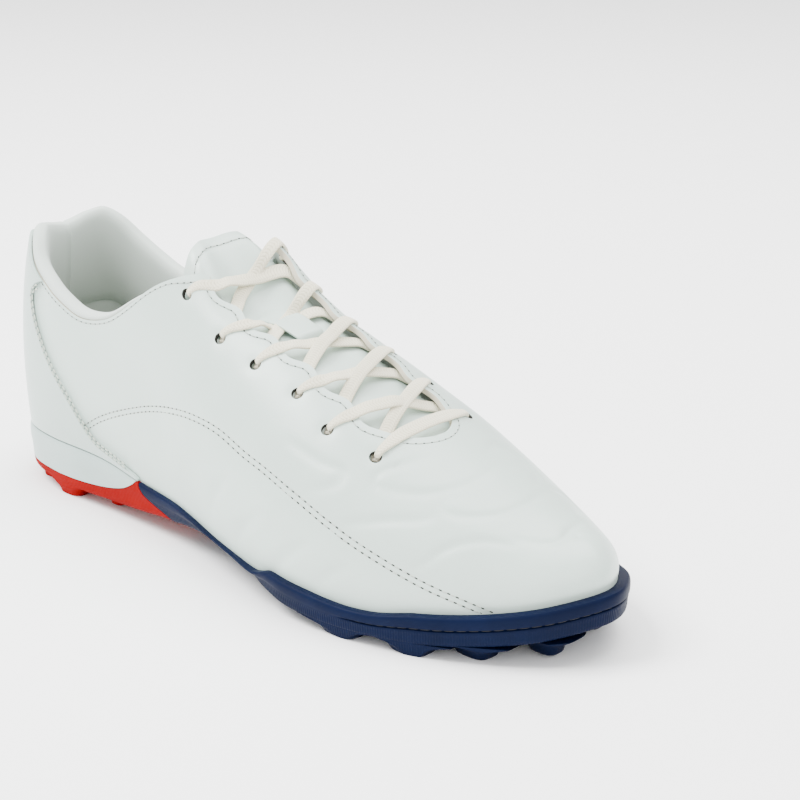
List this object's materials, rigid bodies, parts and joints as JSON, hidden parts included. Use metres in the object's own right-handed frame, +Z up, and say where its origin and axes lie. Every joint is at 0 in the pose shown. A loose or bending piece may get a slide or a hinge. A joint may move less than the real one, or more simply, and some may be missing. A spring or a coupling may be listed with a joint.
{
  "type": "turf shoe",
  "caption": "Low laced turf shoe for artificial grass: smooth hollow upper with padded collar and tongue, on a lugged rubber sole with a raised heel cup.",
  "frame": {"origin": "centre of the shoe's bounding box on the floor under the sole", "axes": "+X from heel to toe, +Y to the inner (medial) side of the right foot, +Z up"},
  "size_m": [0.2878, 0.1008, 0.111],
  "materials": {
    "upper": "smooth coated synthetic leather, pale cool white, low gloss",
    "heel_counter": "smooth coated synthetic leather panel, folded edge, double stitched",
    "lining": "soft knitted lining over foam, grey-green",
    "insole": "fabric-faced foam sockliner, grey",
    "heel_cup": "moulded white rubber, satin",
    "heel_rubber": "moulded red rubber, matt, finely ribbed side",
    "sole_rubber": "moulded navy rubber, satin upper band over matt ribbed lower band",
    "lace": "flat braided lace, off-white"
  },
  "bodies": {
    "root": {"upper": "upper", "heel_counter": "heel_counter", "collar_padding": "lining", "tongue": "upper", "lace_keeper": "upper", "insole": "insole", "heel_cup": "heel_cup", "heel_outsole": "heel_rubber", "outsole": "sole_rubber", "lace_bar": "lace", "lace_crossing_1": "lace", "lace_crossing_2": "lace", "lace_crossing_3": "lace", "lace_crossing_4": "lace", "lace_crossing_5": "lace"}
  },
  "joints": []
}
